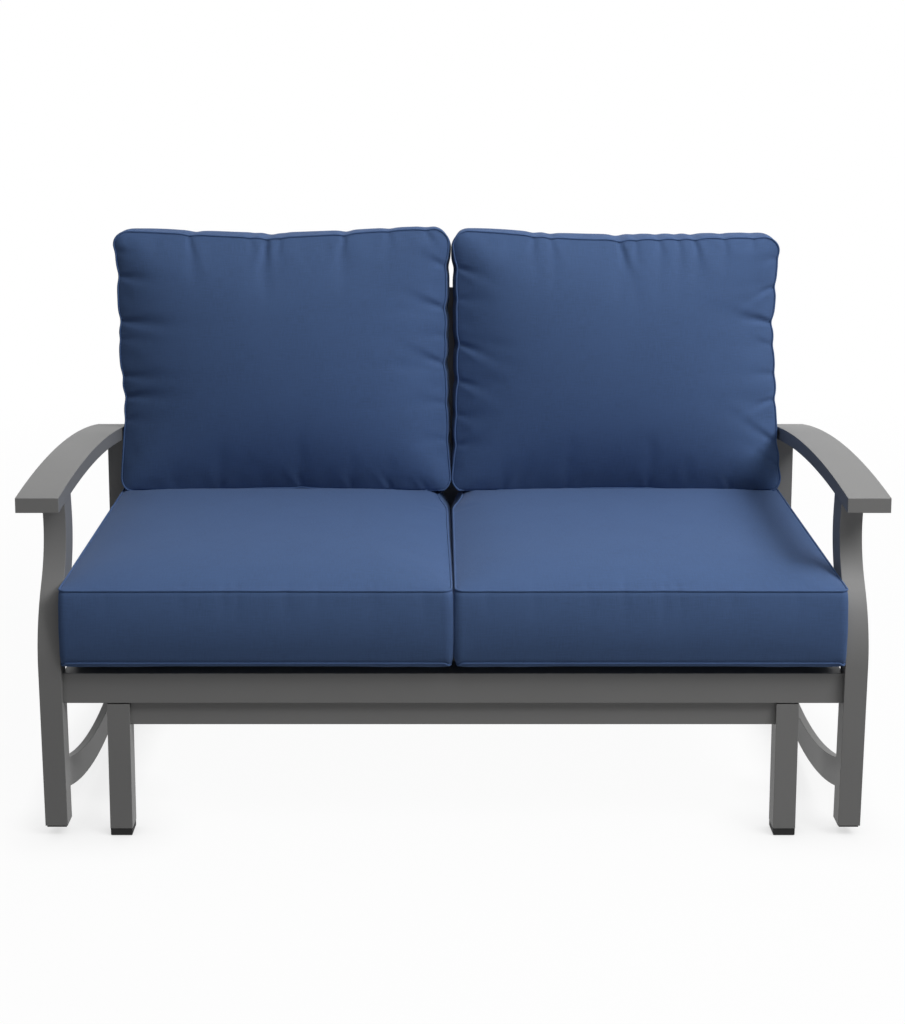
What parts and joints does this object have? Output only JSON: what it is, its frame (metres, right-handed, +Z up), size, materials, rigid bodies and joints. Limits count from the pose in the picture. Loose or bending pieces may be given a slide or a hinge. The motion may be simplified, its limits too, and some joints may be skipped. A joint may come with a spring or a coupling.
{
  "type": "patio glider loveseat",
  "caption": "Patio glider loveseat with grey tube frame, bowed arms and blue cushions; the seat swings level on parallel links under it.",
  "frame": {"origin": "on the floor, at the middle of the whole glider's width and depth, with the seat at rest", "axes": "+X runs side to side, +Y from the front to the back, +Z up; the front faces -Y"},
  "size_m": [1.342, 0.7248, 0.8838],
  "materials": {
    "frame": "powder coated, satin charcoal grey with a fine texture",
    "steel": "zinc plated",
    "bush": "moulded, matt",
    "foot": "matt",
    "glide": "moulded, matt",
    "cushion": "plain woven outdoor cloth with piped seams"
  },
  "bodies": {
    "base": {"base_leg_front_left": "frame", "base_leg_front_right": "frame", "base_leg_rear_left": "frame", "base_leg_rear_right": "frame", "base_front_rail": "frame", "base_rear_rail": "frame", "base_side_rail_left": "frame", "base_side_rail_right": "frame", "rubber_feet": "foot", "upper_pivot_bolts": "steel", "upper_pivot_nuts": "steel", "upper_pivot_washers": "steel"},
    "link_front_left": {"swing_link_front_left": "steel", "bushes_front_left": "bush"},
    "link_front_right": {"swing_link_front_right": "steel", "bushes_front_right": "bush"},
    "link_rear_left": {"swing_link_rear_left": "steel", "bushes_rear_left": "bush"},
    "link_rear_right": {"swing_link_rear_right": "steel", "bushes_rear_right": "bush"},
    "seat": {"lower_pivot_bolts": "steel", "lower_pivot_spacers": "steel", "hanger_front_left": "frame", "hanger_front_right": "frame", "hanger_rear_left": "frame", "hanger_rear_right": "frame", "seat_front_rail": "frame", "seat_rear_rail": "frame", "seat_side_rail_left": "frame", "seat_side_rail_right": "frame", "seat_middle_rail": "frame", "seat_slats": "frame", "front_post_left": "frame", "front_post_right": "frame", "rear_post_left": "frame", "rear_post_right": "frame", "post_glides": "glide", "side_stretcher_left": "frame", "side_stretcher_right": "frame", "arm_left": "frame", "arm_right": "frame", "arm_end_plates": "frame", "back_upright_left": "frame", "back_upright_right": "frame", "back_top_rail": "frame", "back_low_rail": "frame", "back_slats": "frame", "seat_cushion_left": "cushion", "seat_cushion_right": "cushion", "back_cushion_left": "cushion", "back_cushion_right": "cushion"}
  },
  "joints": [
    {"name": "upper_pivot_front_left", "type": "hinge", "parent": "base", "child": "link_front_left", "pos_m": [-0.547, -0.19137, 0.1996], "axis": [1, 0, 0], "range_deg": [-20, 20]},
    {"name": "upper_pivot_front_right", "type": "hinge", "parent": "base", "child": "link_front_right", "pos_m": [0.547, -0.19137, 0.1996], "axis": [1, 0, 0], "range_deg": [-20, 20]},
    {"name": "upper_pivot_rear_left", "type": "hinge", "parent": "base", "child": "link_rear_left", "pos_m": [-0.547, 0.14363, 0.1996], "axis": [1, 0, 0], "range_deg": [-20, 20]},
    {"name": "upper_pivot_rear_right", "type": "hinge", "parent": "base", "child": "link_rear_right", "pos_m": [0.547, 0.14363, 0.1996], "axis": [1, 0, 0], "range_deg": [-20, 20]},
    {"name": "lower_pivot_front_left", "type": "hinge", "parent": "link_front_left", "child": "seat", "pos_m": [-0.547, -0.19137, 0.0656], "axis": [1, 0, 0], "range_deg": [-20, 20]}
  ],
  "couplings": [
    {"joint": "upper_pivot_front_right", "follows": "upper_pivot_front_left", "ratio": 1},
    {"joint": "upper_pivot_rear_left", "follows": "upper_pivot_front_left", "ratio": 1},
    {"joint": "upper_pivot_rear_right", "follows": "upper_pivot_front_left", "ratio": 1},
    {"joint": "lower_pivot_front_left", "follows": "upper_pivot_front_left", "ratio": -1}
  ]
}
